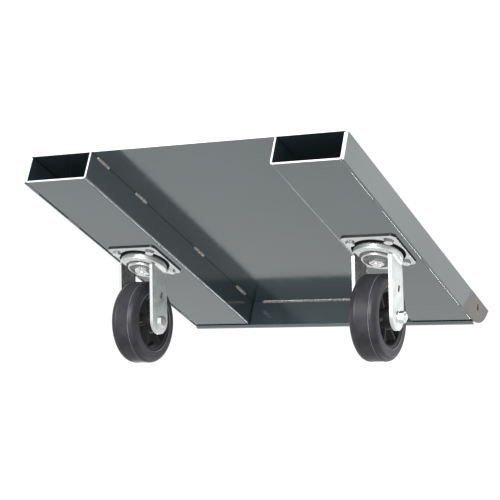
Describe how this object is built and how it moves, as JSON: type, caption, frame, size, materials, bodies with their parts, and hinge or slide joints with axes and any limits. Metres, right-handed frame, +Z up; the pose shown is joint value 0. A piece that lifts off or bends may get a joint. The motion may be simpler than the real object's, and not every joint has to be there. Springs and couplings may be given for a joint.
{
  "type": "drum dolly",
  "caption": "Low sheet-steel platform on fork channels and swivel casters, used to stand a heavy drum on and roll or lift it.",
  "frame": {"origin": "on the floor under the middle of the deck", "axes": "+Z up; +Y along the deck from the fork entry to the closed far end; +X to the right when looking from the fork entry"},
  "size_m": [0.6096, 0.7112, 0.2445],
  "materials": {
    "grey_paint": "gloss",
    "painted_weld": "gloss",
    "zinc_plate": "satin",
    "zinc_fasteners": "bright",
    "bearing_steel": "polished",
    "black_iron": "satin",
    "black_rubber": "satin",
    "brass": "satin"
  },
  "bodies": {
    "root": {"deck_pan": "grey_paint", "left_fork_channel": "grey_paint", "right_fork_channel": "grey_paint", "end_plate": "grey_paint", "channel_welds": "painted_weld", "skirt_welds": "painted_weld", "end_plate_welds": "painted_weld", "left_caster_plate": "zinc_plate", "left_plate_bolts": "zinc_fasteners", "left_plate_nuts": "zinc_fasteners", "left_lock_washers": "zinc_fasteners", "left_kingpin": "zinc_fasteners", "left_kingpin_nut": "zinc_fasteners", "left_lower_race": "zinc_plate", "right_caster_plate": "zinc_plate", "right_plate_bolts": "zinc_fasteners", "right_plate_nuts": "zinc_fasteners", "right_lock_washers": "zinc_fasteners", "right_kingpin": "zinc_fasteners", "right_kingpin_nut": "zinc_fasteners", "right_lower_race": "zinc_plate"},
    "left_ball_race": {"left_upper_balls": "bearing_steel", "left_lower_balls": "bearing_steel"},
    "left_swivel": {"left_fork": "zinc_plate", "left_axle_bolt": "zinc_fasteners", "left_axle_nut": "zinc_fasteners", "left_axle_lock_washer": "zinc_fasteners", "left_bearing_sleeve": "bearing_steel", "left_thrust_washers": "zinc_fasteners"},
    "left_roller_set": {"left_hub_rollers": "bearing_steel"},
    "left_wheel": {"left_wheel_core": "black_iron", "left_tyre": "black_rubber", "left_hub_retainers": "bearing_steel", "left_grease_fitting": "brass"},
    "right_ball_race": {"right_upper_balls": "bearing_steel", "right_lower_balls": "bearing_steel"},
    "right_swivel": {"right_fork": "zinc_plate", "right_axle_bolt": "zinc_fasteners", "right_axle_nut": "zinc_fasteners", "right_axle_lock_washer": "zinc_fasteners", "right_bearing_sleeve": "bearing_steel", "right_thrust_washers": "zinc_fasteners"},
    "right_roller_set": {"right_hub_rollers": "bearing_steel"},
    "right_wheel": {"right_wheel_core": "black_iron", "right_tyre": "black_rubber", "right_hub_retainers": "bearing_steel", "right_grease_fitting": "brass"}
  },
  "joints": [
    {"name": "left_swivel_turn", "type": "hinge", "parent": "root", "child": "left_swivel", "pos_m": [-0.2387, -0.04, 0.18], "axis": [0, 0, 1], "continuous": true},
    {"name": "left_ball_travel", "type": "hinge", "parent": "root", "child": "left_ball_race", "pos_m": [-0.2387, -0.04, 0.18], "axis": [0, 0, 1], "continuous": true},
    {"name": "left_wheel_spin", "type": "hinge", "parent": "left_swivel", "child": "left_wheel", "pos_m": [-0.2387, -0.002, 0.0762], "axis": [1, 0, 0], "continuous": true},
    {"name": "left_roller_travel", "type": "hinge", "parent": "left_swivel", "child": "left_roller_set", "pos_m": [-0.2387, -0.002, 0.0762], "axis": [1, 0, 0], "continuous": true},
    {"name": "right_swivel_turn", "type": "hinge", "parent": "root", "child": "right_swivel", "pos_m": [0.2387, -0.04, 0.18], "axis": [0, 0, 1], "continuous": true},
    {"name": "right_ball_travel", "type": "hinge", "parent": "root", "child": "right_ball_race", "pos_m": [0.2387, -0.04, 0.18], "axis": [0, 0, 1], "continuous": true},
    {"name": "right_wheel_spin", "type": "hinge", "parent": "right_swivel", "child": "right_wheel", "pos_m": [0.2387, -0.002, 0.0762], "axis": [1, 0, 0], "continuous": true},
    {"name": "right_roller_travel", "type": "hinge", "parent": "right_swivel", "child": "right_roller_set", "pos_m": [0.2387, -0.002, 0.0762], "axis": [1, 0, 0], "continuous": true}
  ],
  "couplings": [
    {"joint": "left_ball_travel", "follows": "left_swivel_turn", "ratio": 0.5},
    {"joint": "left_roller_travel", "follows": "left_wheel_spin", "ratio": 0.6},
    {"joint": "right_ball_travel", "follows": "right_swivel_turn", "ratio": 0.5},
    {"joint": "right_roller_travel", "follows": "right_wheel_spin", "ratio": 0.6}
  ]
}
